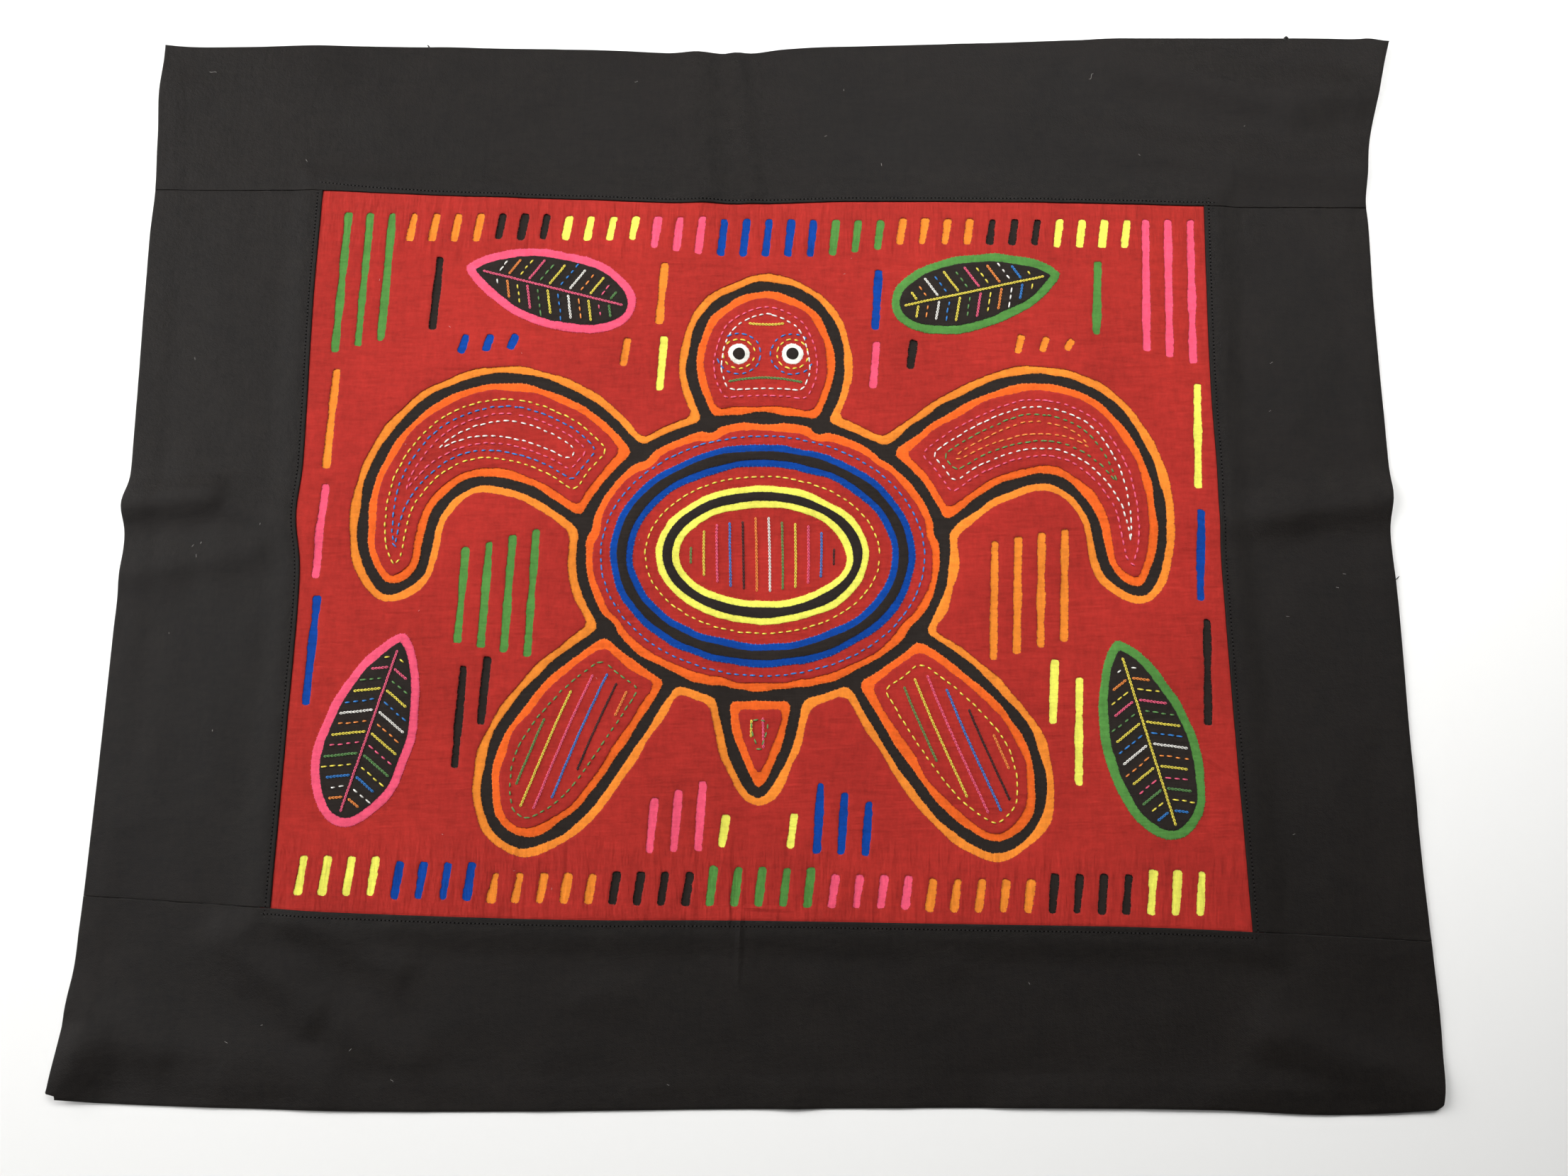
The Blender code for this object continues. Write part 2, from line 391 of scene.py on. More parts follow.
def twill_weave():
    """Diagonal ribs of twill, worn and irregular under the slubs of its cotton yarn."""
    group, into, out = new_group("twill_weave", {"Slub": 0.9}, ["Height"])
    place = node(group, "ShaderNodeTexCoord", (-5, 0))
    turned = node(group, "ShaderNodeMapping", (-4, 0), Rotation=(0, 0, math.radians(58)))
    ribs = node(group, "ShaderNodeTexWave", (-2, -1), Scale=520.0, Distortion=2.2, Detail=2.0)
    ribs.inputs["Detail Scale"].default_value = 0.8
    yarn = node(group, "ShaderNodeTexNoise", (-2, 1), Scale=420.0, Detail=4.0, Roughness=0.82)
    blend = node(group, "ShaderNodeMix", (0, 0))
    wire(
        group,
        (place, "Object", turned, "Vector"),
        (turned, "Vector", ribs, "Vector"),
        (place, "Object", yarn, "Vector"),
        (into, "Slub", blend, "Factor"),
        (ribs, "Fac", blend, "A"),
        (yarn, "Fac", blend, "B"),
        (blend, "Result", out, "Height"),
    )
    return group


wear_group = cloth_wear()
twill_group = twill_weave()


def soft_creases():
    """Small soft creases of handled cloth: across the panel at its sides, up and down near its ends."""
    group, into, out = new_group("soft_creases", {"Ends": 0.142}, ["Height"])
    place = node(group, "ShaderNodeTexCoord", (-6, 0))
    parts = node(group, "ShaderNodeSeparateXYZ", (-4, 3))
    from_middle = node(group, "ShaderNodeMath", (-3, 3), operation="ABSOLUTE")
    past = node(group, "ShaderNodeMath", (-2, 3), operation="SUBTRACT")
    near_end = node(group, "ShaderNodeMath", (-1, 3), operation="MULTIPLY_ADD", use_clamp=True)
    near_end.inputs[1].default_value = 90.0
    near_end.inputs[2].default_value = 0.5
    blend = node(group, "ShaderNodeMix", (2, 0))
    for row, (slot, stretch) in enumerate((("A", (0.22, 1.0, 1.0)), ("B", (1.0, 0.22, 1.0)))):
        stretched = node(group, "ShaderNodeMapping", (-4, row), Scale=stretch)
        waves = node(group, "ShaderNodeTexNoise", (-2, row), Scale=250.0, Detail=2.5, Roughness=0.5)
        height = node(group, "ShaderNodeMath", (-1, row), operation="MULTIPLY")
        height.inputs[1].default_value = 1.0 + 0.8 * row
        wire(
            group,
            (place, "Object", stretched, "Vector"),
            (stretched, "Vector", waves, "Vector"),
            (waves, "Fac", height, 0),
            (height, "Value", blend, slot),
        )
    wire(
        group,
        (place, "Object", parts, "Vector"),
        (parts, "Y", from_middle, 0),
        (from_middle, "Value", past, 0),
        (into, "Ends", past, 1),
        (past, "Value", near_end, 0),
        (near_end, "Value", blend, "Factor"),
        (blend, "Result", out, "Height"),
    )
    return group


crease_group = soft_creases()

# Creases pressed in by folding, columns: start x, start y, end x, end y, half width
FOLD_LINES = [
    (-4.2, -142.0, -6.0, -214.0, 2.1),
    (-26.5, -146.0, -28.0, -188.0, 2.2),
    (-10.6, -157.0, -10.2, -182.0, 1.4),
    (-16.0, -169.6, 21.0, -171.2, 1.6),
    (190.0, -89.0, 224.0, -111.8, 1.8),
]


def fold_lines():
    """The few sharper creases: each a low ridge along a line, fading to its ends."""
    group, into, out = new_group("fold_lines", {}, ["Height"])
    place = node(group, "ShaderNodeTexCoord", (-6, 0))
    total = ()
    for row, (x0, y0, x1, y1, half_width) in enumerate(FOLD_LINES):
        middle = ((x0 + x1) / 2 - MIDDLE[0], (y0 + y1) / 2 - MIDDLE[1])
        across = node(
            group, "ShaderNodeMapping", (-4, row), vector_type="TEXTURE",
            Location=(middle[0] * MM, middle[1] * MM, 0),
            Rotation=(0, 0, math.atan2(y1 - y0, x1 - x0)),
            Scale=(math.hypot(x1 - x0, y1 - y0) / 2 * MM, half_width * MM, 1),
        )
        ridge = node(group, "ShaderNodeTexGradient", (-2, row), gradient_type="SPHERICAL")
        wire(group, (place, "Object", across, "Vector"), (across, "Vector", ridge, "Vector"))
        if total:
            higher = node(group, "ShaderNodeMath", (0, row), operation="MAXIMUM")
            wire(group, (*total, higher, 0), (ridge, "Fac", higher, 1))
            total = (higher, "Value")
        else:
            total = (ridge, "Fac")
    wire(group, (*total, out, "Height"))
    return group


line_group = fold_lines()


def woven(name, weave, dark, light, mottle, depth, crease, rough=0.9, gloss=0.15, coarse=0.0002):
    """Dyed cotton: colour between two shades, small and sharp creases, a weave's relief, a sheen."""
    material = bpy.data.materials.new(name)
    material.use_nodes = True
    tree = material.node_tree
    shader = tree.nodes["Principled BSDF"]
    shader.inputs["Roughness"].default_value = rough
    shader.inputs["Specular IOR Level"].default_value = gloss
    shader.inputs["Sheen Weight"].default_value = 0.03
    shader.inputs["Sheen Roughness"].default_value = 0.5
    wear = node(tree, "ShaderNodeGroup", (-4, 0), node_tree=wear_group)
    wear.inputs["Mottle"].default_value = mottle
    ramp = node(tree, "ShaderNodeValToRGB", (-3, 0))
    ramp.color_ramp.elements[0].position = 0.32
    ramp.color_ramp.elements[0].color = (*dark, 1)
    ramp.color_ramp.elements[1].position = 0.68
    ramp.color_ramp.elements[1].color = (*light, 1)
    creases = node(tree, "ShaderNodeGroup", (-5, 3), node_tree=crease_group)
    folds = node(tree, "ShaderNodeBump", (-3, 3), Strength=crease, Distance=0.0012)
    pressed = node(tree, "ShaderNodeGroup", (-5, 4), node_tree=line_group)
    lines = node(tree, "ShaderNodeBump", (-2.5, 3), Strength=1.0, Distance=0.0006)
    relief = node(tree, "ShaderNodeGroup", (-4, 2), node_tree=weave)
    bump = node(tree, "ShaderNodeBump", (-1.5, 2), Strength=depth, Distance=coarse)
    wire(
        tree,
        (wear, "Mask", ramp, "Fac"),
        (ramp, "Color", shader, "Base Color"),
        (creases, "Height", folds, "Height"),
        (folds, "Normal", lines, "Normal"),
        (pressed, "Height", lines, "Height"),
        (lines, "Normal", bump, "Normal"),
        (relief, "Height", bump, "Height"),
        (bump, "Normal", shader, "Normal"),
    )
    return material


TWILL_DARK = (0.0012, 0.0004, 0.0001)
TWILL_LIGHT = (0.0104, 0.0078, 0.0060)
black_twill = woven(
    "black_twill", twill_group, TWILL_DARK, TWILL_LIGHT,
    mottle=0.8, depth=1.0, crease=0.12, rough=0.60, gloss=0.17, coarse=0.0005,
)
for piece in strips.values():
    dress(piece, black_twill)
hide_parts("border_top")
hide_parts("border_bottom")
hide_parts("border_left")
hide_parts("border_right")


# Machine stitching: one row of short black stitches all round the opening, two millimetres out
# from the seam. It holds the seam allowances flat. The shade in each needle hole is painted as a
# near-black dot.
STITCH_PITCH = 1.85
STITCH_LENGTH = 1.1
STITCH_HALF = 0.17
HOLE_SUNK = 0.20
HOLE_REACH = 0.40
HOLE_HALF = 0.44
# How far to each side a line's direction is measured
WAY_REACH = 0.3
# Rings of a stitch, columns: place along it, thickness, rise
FULL_STITCH = [(0, 0.4, -0.7), (0.2, 1.0, 0.5), (0.5, 1.05, 1.0), (0.8, 1.0, 0.5), (1, 0.4, -0.7)]
TINY_STITCH = [(0, 0.7, -0.6), (0.5, 1.1, 1.0), (1, 0.7, -0.6)]


def sew(name, starts, ends, half_width, hump, material, form=FULL_STITCH, sides=4, bows=0.0):
    """One mesh of many short stitches. Ends are x, y and height above the cloth's underside."""
    starts, ends = np.array(starts, float), np.array(ends, float)
    reach = ends - starts
    long = np.hypot(reach[:, 0], reach[:, 1])
    across = np.stack([-reach[:, 1] / long, reach[:, 0] / long], axis=1)
    bows = np.broadcast_to(bows, len(starts))[:, None]
    rings = []
    for t, swell, rise in form:
        centre = starts + reach * t
        centre[:, :2] += across * bows * math.sin(math.pi * t)
        height = lie(centre[:, 0], centre[:, 1]) + centre[:, 2] + hump * rise
        for k in range(sides):
            turn = math.tau * (k + 0.5) / sides
            aside = across * half_width * swell * math.cos(turn)
            above = height + half_width * swell * math.sin(turn)
            rings.append(np.column_stack([centre[:, :2] + aside, above]))
    points = np.stack(rings, axis=1).reshape(-1, 3)
    pattern = []
    for r in range(len(form) - 1):
        for k in range(sides):
            a, b = r * sides + k, r * sides + (k + 1) % sides
            pattern.append((a, b, b + sides, a + sides))
    each = len(form) * sides
    pattern.append(tuple(reversed(range(sides))))
    pattern.append(tuple(range(each - sides, each)))
    faces = [tuple(each * n + corner for corner in face) for n in range(len(starts)) for face in pattern]
    return dress(smooth(add_mesh(name, points, faces), 80), material)


def measure(line):
    """How far along a line each of its places is."""
    return np.concatenate([[0], np.cumsum(np.hypot(*np.diff(line, axis=0).T))])


def places_on(line, at):
    """Places at given distances along a line."""
    along = measure(line)
    return np.column_stack([np.interp(at, along, axis) for axis in line.T])


def walk(line, pitch, start=0.0):
    """Places and directions at an even pitch along a line."""
    line = np.asarray(line, float)
    at = np.arange(start, measure(line)[-1], pitch)
    way = places_on(line, at + WAY_REACH) - places_on(line, at - WAY_REACH)
    return places_on(line, at), way / np.maximum(np.hypot(*way.T), 1e-6)[:, None]


def thread(name, colour):
    """Cotton thread: soft, slightly shiny, with the turns of its ply."""
    material = bpy.data.materials.new(name)
    material.use_nodes = True
    tree = material.node_tree
    shader = tree.nodes["Principled BSDF"]
    shader.inputs["Roughness"].default_value = 0.62
    shader.inputs["Specular IOR Level"].default_value = 0.3
    shader.inputs["Sheen Weight"].default_value = 0.15
    place = node(tree, "ShaderNodeTexCoord", (-6, 0))
    ply = node(
        tree, "ShaderNodeTexWave", (-4, 1), Scale=330.0, Distortion=3.0, bands_direction="DIAGONAL"
    )
    ramp = node(tree, "ShaderNodeValToRGB", (-3, 0))
    ramp.color_ramp.elements[0].color = (*(0.72 * part for part in colour), 1)
    ramp.color_ramp.elements[1].color = (*colour, 1)
    bump = node(tree, "ShaderNodeBump", (-2, 2), Strength=0.5, Distance=0.0001)
    wire(
        tree,
        (place, "Object", ply, "Vector"),
        (ply, "Fac", ramp, "Fac"),
        (ramp, "Color", shader, "Base Color"),
        (ply, "Fac", bump, "Height"),
        (bump, "Normal", shader, "Normal"),
    )
    return material


black_thread = thread("black_machine_thread", (0.0095, 0.0080, 0.0072))
# Painted shade: a matt near-black material for the dots that stand in for the shade inside the needle
# holes.
painted_hole_shade = bpy.data.materials.new("needle_hole_painted_shade")
painted_hole_shade.use_nodes = True
hole_shader = painted_hole_shade.node_tree.nodes["Principled BSDF"]
hole_shader.inputs["Base Color"].default_value = (0.001, 0.001, 0.001, 1)
hole_shader.inputs["Specular IOR Level"].default_value = 0.0

# The top row starts further out at its left end and nears the seam along its first few centimetres
row_x = np.linspace(-221.5, 225, 200)
row_y = np.linspace(-177.5, 173, 160)
top_x = row_x[:-2]
stray = 2.2 * np.exp(-(top_x + 218) / 28)
stitch_rows = (
    np.column_stack([top_x, read_edge(TOP_SEAM, top_x) + 1.7 + stray]),
    np.column_stack([row_x, read_edge(BOTTOM_SEAM, row_x) - STITCH_OUT - 0.4]),
    np.column_stack([read_edge(LEFT_SEAM, row_y) - STITCH_OUT, row_y]),
    np.column_stack([read_edge(RIGHT_SEAM, row_y) + STITCH_OUT, row_y]),
)
machine_starts, machine_ends, holes = [], [], []
for row in stitch_rows:
    places, way = walk(row, STITCH_PITCH)
    height = np.full((len(places), 1), SEAM_TOP - STITCH_SINK)
    machine_starts.append(np.hstack([places - way * STITCH_LENGTH / 2, height]))
    machine_ends.append(np.hstack([places + way * STITCH_LENGTH / 2, height]))
    holes.append(np.hstack([places + way * STITCH_PITCH / 2, height - HOLE_SUNK]))
sew(
    "machine_stitching", np.concatenate(machine_starts), np.concatenate(machine_ends),
    half_width=STITCH_HALF, hump=0.04, material=black_thread,
)
# The needle holes are small near-black dots sunk into the twill. This is painted shade, not open holes.
holes = np.concatenate(holes)
half_hole = (HOLE_REACH, 0, 0)
sew(
    "needle_hole_shade", holes - half_hole, holes + half_hole,
    half_width=HOLE_HALF, hump=0.02, material=painted_hole_shade, form=TINY_STITCH,
)


# Black base cloth: the lowest layer of the mola, plain-woven black cotton that runs under all the
# others and shows wherever both layers above it are cut through.
BASE_TOP = 0.45
TUCKED = 5.0
GRID = 0.8
REACH = 27.0
ROLL = 0.35
TURNED = 1.1
# Where a cloth is pulled down under the seam, and rows of places beside it
DITCH_OUT = 0.25
DITCH_WIDTH = 0.65
DITCH_ROWS = (-0.25, 0.1, 0.45, 0.9, 1.4)
grid_x = np.arange(-232, 238, GRID)
grid_y = np.arange(-190, 188, GRID)
X, Y = np.meshgrid(grid_x, grid_y)
window = TUCKED - from_window(X, Y)


def trace(field, level=0.0):
    """Closed outlines where a grid of distances crosses a level, with the higher side on their left."""
    high = field > level
    first = high[:-1, :-1]
    mixed = (first != high[1:, :-1]) | (first != high[:-1, 1:]) | (first != high[1:, 1:])
    follow = {}
    for j, i in np.argwhere(mixed).tolist():
        corners = ((j, i), (j, i + 1), (j + 1, i + 1), (j + 1, i))
        state = [high[corner] for corner in corners]
        enter, leave = {}, {}
        for k in range(4):
            if state[k] != state[(k + 1) % 4]:
                pair = tuple(sorted((corners[k], corners[(k + 1) % 4])))
                (enter if state[(k + 1) % 4] else leave)[k] = pair
        for k, pair in leave.items():
            back = next((k - m) % 4 for m in (1, 2, 3) if (k - m) % 4 in enter)
            follow[pair] = enter[back]
    loops = []
    while follow:
        key, after = follow.popitem()
        keys = [key]
        while after in follow:
            keys.append(after)
            after = follow.pop(after)
        loop = []
        for (j0, i0), (j1, i1) in keys:
            t = (level - field[j0, i0]) / (field[j1, i1] - field[j0, i0])
            x = grid_x[i0] + t * (grid_x[i1] - grid_x[i0])
            y = grid_y[j0] + t * (grid_y[j1] - grid_y[j0])
            loop.append((x, y))
        if len(loop) > 8:
            loops.append(np.array(loop))
    return loops


def closed(loop):
    """A closed outline with its first place again at its end."""
    return np.vstack([loop, loop[:1]])


def even_loop(loop, spacing):
    """The same closed outline with its places evenly spaced."""
    length = measure(closed(loop))[-1]
    count = max(10, round(length / spacing))
    return places_on(closed(loop), np.arange(count) * length / count)


def read_field(field, x, y):
    """Value of a grid between its places."""
    i = np.clip((x - grid_x[0]) / GRID, 0, len(grid_x) - 1.001)
    j = np.clip((y - grid_y[0]) / GRID, 0, len(grid_y) - 1.001)
    i0, j0 = i.astype(int), j.astype(int)
    s, t = i - i0, j - j0
    low = field[j0, i0] * (1 - s) + field[j0, i0 + 1] * s
    return low * (1 - t) + (field[j0 + 1, i0] * (1 - s) + field[j0 + 1, i0 + 1] * s) * t


def fill(outlines, contours, inner):
    """Triangles over the cloth inside its outlines, which have the cloth on their left."""
    places = [Vector(place) for place in np.concatenate([*outlines, *contours, inner]).tolist()]
    edges, start = [], 0
    for loop in [*outlines, *contours]:
        edges += [(start + k, start + (k + 1) % len(loop)) for k in range(len(loop))]
        start += len(loop)
    bounding = sum(len(loop) for loop in outlines)
    found, found_edges, triangles, _, from_edges, _ = delaunay_2d_cdt(places, edges, [], 0, 1e-7)
    side = {}
    for (a, b), origins in zip(found_edges, from_edges):
        origins = [origin for origin in origins if origin < bounding]
        if origins:
            c, d = edges[origins[0]]
            if (found[b] - found[a]).dot(places[d] - places[c]) < 0:
                a, b = b, a
            side[a, b] = True
            side[b, a] = False
    touching = {}
    cloth = {}
    for n, (a, b, c) in enumerate(triangles):
        for edge in ((a, b), (b, c), (c, a)):
            touching[edge] = n
            if edge in side:
                cloth[n] = side[edge]
    todo = list(cloth)
    while todo:
        n = todo.pop()
        a, b, c = triangles[n]
        for edge in ((a, b), (b, c), (c, a)):
            other = touching.get((edge[1], edge[0]))
            if edge not in side and other is not None and other not in cloth:
                cloth[other] = cloth[n]
                todo.append(other)
    return np.array([tuple(place) for place in found]), [tuple(triangles[n]) for n in cloth if cloth[n]]


def cut_cloth(name, field, low, high, material, grain=5.0, puff=0.06, spacing=1.4, sink=0.0):
    """Closed cloth where a grid of distances is above nought, its edges turned under and rounded."""
    outlines = [even_loop(loop, spacing) for loop in trace(field)]
    contours = [even_loop(loop, spacing) for inset in (ROLL, TURNED) for loop in trace(field, inset)]
    if sink:
        near_seam = [loop for inside_it in DITCH_ROWS for loop in trace(window, TUCKED + inside_it)]
        contours += [even_loop(loop, 3.0) for loop in near_seam]
    free_x, free_y = np.meshgrid(np.arange(-228, 232, grain), np.arange(-184, 184, grain))
    free_x = free_x + 0.25 * grain * (np.arange(free_x.shape[0]) % 2)[:, None]
    deep = read_field(field, free_x, free_y) > TURNED + 1.3
    places, triangles = fill(outlines, contours, np.column_stack([free_x[deep], free_y[deep]]))
    x, y = places.T
    thick = high - low
    inset = read_field(field, x, y)
    turned_edge = (puff / 2 - 0.6 * thick, puff / 2 - 0.16 * thick, puff, 0)
    drop = np.interp(inset, (0, ROLL, TURNED, 3 * TURNED), turned_edge)
    drop -= sink * np.exp(-(((from_window(x, y) - DITCH_OUT) / DITCH_WIDTH) ** 2))
    ground = lie(x, y)
    upper = np.column_stack([x, y, ground + high + drop])
    lower = np.column_stack([x, y, ground + low])
    points = np.concatenate([upper, lower])
    under = len(places)
    used = {edge for a, b, c in triangles for edge in ((a, b), (b, c), (c, a))}
    rims = [(a, b) for a, b in used if (b, a) not in used]
    faces = triangles + [tuple(under + corner for corner in reversed(face)) for face in triangles]
    faces += [(b, a, under + a, under + b) for a, b in rims]
    return dress(smooth(add_mesh(name, points, faces), 55), material)


def plain_weave():
    """Fine over-and-under weave of shirting cotton, with uneven yarn."""
    group, into, out = new_group("plain_weave", {"Slub": 0.5}, ["Height"])
    place = node(group, "ShaderNodeTexCoord", (-6, 0))
    yarn = {"Scale": 760.0, "Distortion": 1.2}
    across = node(group, "ShaderNodeTexWave", (-3, -2), **yarn, bands_direction="X")
    along_yarn = node(group, "ShaderNodeTexWave", (-3, 0), **yarn, bands_direction="Y")
    crossed = node(group, "ShaderNodeMath", (-1, -1), operation="MULTIPLY")
    stretched = node(group, "ShaderNodeMapping", (-5, 2), Scale=(1.0, 0.16, 1.0))
    slubs = node(group, "ShaderNodeTexNoise", (-3, 2), Scale=900.0, Detail=2.0)
    blend = node(group, "ShaderNodeMix", (1, 0))
    wire(
        group,
        (place, "Object", across, "Vector"),
        (place, "Object", along_yarn, "Vector"),
        (across, "Fac", crossed, 0),
        (along_yarn, "Fac", crossed, 1),
        (place, "Object", stretched, "Vector"),
        (stretched, "Vector", slubs, "Vector"),
        (into, "Slub", blend, "Factor"),
        (crossed, "Value", blend, "A"),
        (slubs, "Fac", blend, "B"),
        (blend, "Result", out, "Height"),
    )
    return group


weave_group = plain_weave()


def cotton(name, colour, mottle=0.7):
    """Plain-woven cotton dyed one colour, a little darker and lighter in places."""
    dark = tuple(0.66 * part for part in colour)
    light = tuple(min(1.30 * part, 0.95) for part in colour)
    return woven(name, weave_group, dark, light, mottle, 0.95, 0.75)


black_cotton = cotton("black_plain_cotton", (0.0185, 0.0140, 0.0115))
base_cloth = cut_cloth("black_base_cloth", window, 0.0, BASE_TOP, black_cotton, grain=7.0)


# Orange cloth: the middle layer of the mola. It shows as a pair of bands wherever the red is cut
# back along the design's lines, and is itself cut and turned back along their middle to the black.
ORANGE_TOP = 0.80
BAND = 6.1
CORE = 2.45
SLIT = 1.9

SHELL_MIDDLE = (2.0, -8.0)
SHELL_HALF = (86.0, 67.0)
LEFT_FRONT_FLIPPER = [
    (-56, 40), (-84, 66), (-122, 78), (-160, 66), (-184, 34), (-188, -4), (-176, -26), (-160, -18),
    (-154, 10), (-136, 26), (-110, 22), (-82, 4),
]
RIGHT_FRONT_FLIPPER = [
    (60, 42), (90, 65), (128, 80), (164, 70), (185, 40), (190, 2), (181, -23), (164, -14),
    (157, 14), (139, 30), (113, 24), (86, 4),
]
LEFT_REAR_FLIPPER = [
    (-70, -44), (-98, -66), (-120, -98), (-121, -130), (-104, -143), (-81, -131), (-61, -104),
    (-40, -70),
]
RIGHT_REAR_FLIPPER = [
    (74, -44), (101, -63), (126, -92), (130, -125), (112, -142), (89, -131), (67, -104), (46, -70),
]
HEAD = [(-24, 54), (-34, 84), (-25, 113), (2, 126), (29, 113), (38, 83), (28, 54)]
TAIL = [(-16, -74), (-10, -100), (2, -119), (14, -100), (20, -74)]


def flowing(points, pitch=2.0):
    """Smooth line through a few given points, as close places along it."""
    points = np.array(points, float)
    padded = np.vstack([points[:1], points, points[-1:]])
    line = []
    for a, b, c, d in zip(padded, padded[1:], padded[2:], padded[3:]):
        parts = max(2, int(np.hypot(*(c - b)) / pitch))
        square, cube = 2 * a - 5 * b + 4 * c - d, 3 * b - a - 3 * c + d
        for t in np.arange(parts) / parts:
            line.append(0.5 * (2 * b + (c - a) * t + square * t**2 + cube * t**3))
    line.append(points[-1])
    return np.array(line)


def oval(middle, half):
    """Closed oval line."""
    turn = np.linspace(0, math.tau, 97)
    return np.column_stack([middle[0] + half[0] * np.cos(turn), middle[1] + half[1] * np.sin(turn)])


def distance_to(line):
    """Distance from each place of the cutting grid to a line, up to the grid's reach."""
    away = np.full(X.shape, REACH)
    for (x0, y0), (x1, y1) in zip(line, line[1:]):
        i0 = max(int((min(x0, x1) - REACH - grid_x[0]) / GRID), 0)
        i1 = int((max(x0, x1) + REACH - grid_x[0]) / GRID) + 1
        j0 = max(int((min(y0, y1) - REACH - grid_y[0]) / GRID), 0)
        j1 = int((max(y0, y1) + REACH - grid_y[0]) / GRID) + 1
        x, y, near = X[j0:j1, i0:i1], Y[j0:j1, i0:i1], away[j0:j1, i0:i1]
        dx, dy = x1 - x0, y1 - y0
        t = np.clip(((x - x0) * dx + (y - y0) * dy) / (dx * dx + dy * dy + 1e-9), 0, 1)
        np.minimum(near, np.hypot(x - x0 - t * dx, y - y0 - t * dy), out=near)
    return away


def inside(outline, x, y):
    """Which places lie inside a closed outline."""
    within = np.zeros(np.shape(x), bool)
    for (x0, y0), (x1, y1) in zip(outline, np.roll(outline, -1, axis=0)):
        if y0 != y1:
            within ^= ((y0 > y) != (y1 > y)) & (x < x0 + (y - y0) / (y1 - y0) * (x1 - x0))
    return within


def meet(one, other, round_off=4.0):
    """The nearer of two distances, rounded off where two lines run together."""
    h = np.clip(0.5 + 0.5 * (other - one) / round_off, 0, 1)
    return other + (one - other) * h - round_off * h * (1 - h)


outlines = {
    "shell": oval(SHELL_MIDDLE, SHELL_HALF),
    "left_front": flowing(LEFT_FRONT_FLIPPER),
    "right_front": flowing(RIGHT_FRONT_FLIPPER),
    "left_rear": flowing(LEFT_REAR_FLIPPER),
    "right_rear": flowing(RIGHT_REAR_FLIPPER),
    "head": flowing(HEAD),
    "tail": flowing(TAIL),
}
limbs = [name for name in outlines if name != "shell"]
bands = distance_to(outlines["shell"])
for limb in limbs:
    bands = meet(bands, distance_to(outlines[limb]))
hand_cut = 0.45 * uneven(X, Y, 16, 44, 21) + 0.17 * uneven(X, Y, 2.6, 5.0, 22)
hand_core = 0.38 * uneven(X, Y, 12, 36, 31) + 0.15 * uneven(X, Y, 2.6, 5.0, 32)

# Slits in rows, columns: colour, first x, low y, high y, how many, step in x, in low y, in high y
SLIT_ROWS = [
    ("green", -208, 92, 161, 3, 11, 3, 0),
    ("orange", -175, 150, 161, 4, 11, 0, 0),
    ("black", -131, 151, 161, 3, 11, 0, 0),
    ("yellow", -98, 151, 160, 4, 11, 0, 0),
    ("pink", -54, 147, 160, 3, 11, -1.5, 0),
    ("blue", -21, 143, 159, 5, 11, 0, 0),
    ("green", 34, 144, 159, 3, 11, 1.5, 0),
    ("orange", 67, 150, 160, 4, 11, 0, 0),
    ("black", 111, 150, 160, 3, 11, 0, 0),
    ("yellow", 144, 149, 160, 4, 11, 0, 0),
    ("pink", 208, 90, 160, 3, -11, 3, 0),
    ("black", -161, 104, 138, 1, 0, 0, 0),
    ("green", 162, 104, 138, 1, 0, 0, 0),
    ("blue", -146, 92, 98, 3, 12, 1.2, 0.2),
    ("orange", 124, 94, 100, 3, 12, 1.0, -0.8),
    ("orange", -67, 86, 97, 1, 0, 0, 0),
    ("yellow", -49, 74, 98, 1, 0, 0, 0),
    ("orange", -50, 108, 136, 1, 0, 0, 0),
    ("pink", 54, 76, 96, 1, 0, 0, 0),
    ("blue", 55, 106, 133, 1, 0, 0, 0),
    ("black", 72, 86, 97, 1, 0, 0, 0),
    ("orange", -208, 34, 80, 1, 0, 0, 0),
    ("pink", -209, -20, 22, 1, 0, 0, 0),
    ("blue", -209, -80, -32, 1, 0, 0, 0),
    ("yellow", 208, 28, 76, 1, 0, 0, 0),
    ("blue", 207, -26, 14, 1, 0, 0, 0),
    ("black", 208, -84, -38, 1, 0, 0, 0),
    ("green", -140, -50, -8, 4, 11, -2, 3),
    ("orange", 143, -46, 4, 4, -11, -3, -2),
    ("black", -138, -108, -64, 2, 11, 20, 4),
    ("yellow", 148, -112, -66, 2, -11, 28, 8),
    ("pink", -47, -145, -124, 3, 11, 0.5, 4),
    ("blue", 51, -145, -124, 3, -11, 0.5, 4),
    ("yellow", -14, -142, -131, 2, 31, 0, 1),
    ("yellow", -206, -166, -152, 4, 11, 0, 0),
    ("blue", -162, -167, -154, 4, 11, 0, 0),
    ("orange", -118, -168, -158, 5, 11, 0, 0),
    ("black", -63, -168, -157, 4, 11, 0, 0),
    ("green", -19, -168, -154, 5, 11, 0, 0),
    ("pink", 36, -168, -157, 4, 11, 0, 0),
    ("orange", 80, -169, -158, 5, 11, 0, 0),
    ("black", 135, -169, -155, 4, 11, 0, 0),
    ("yellow", 179, -169, -153, 3, 11, 0, 0),
]
SLIT_LEAN = 1.5
SLIT_CORNER = 1.0


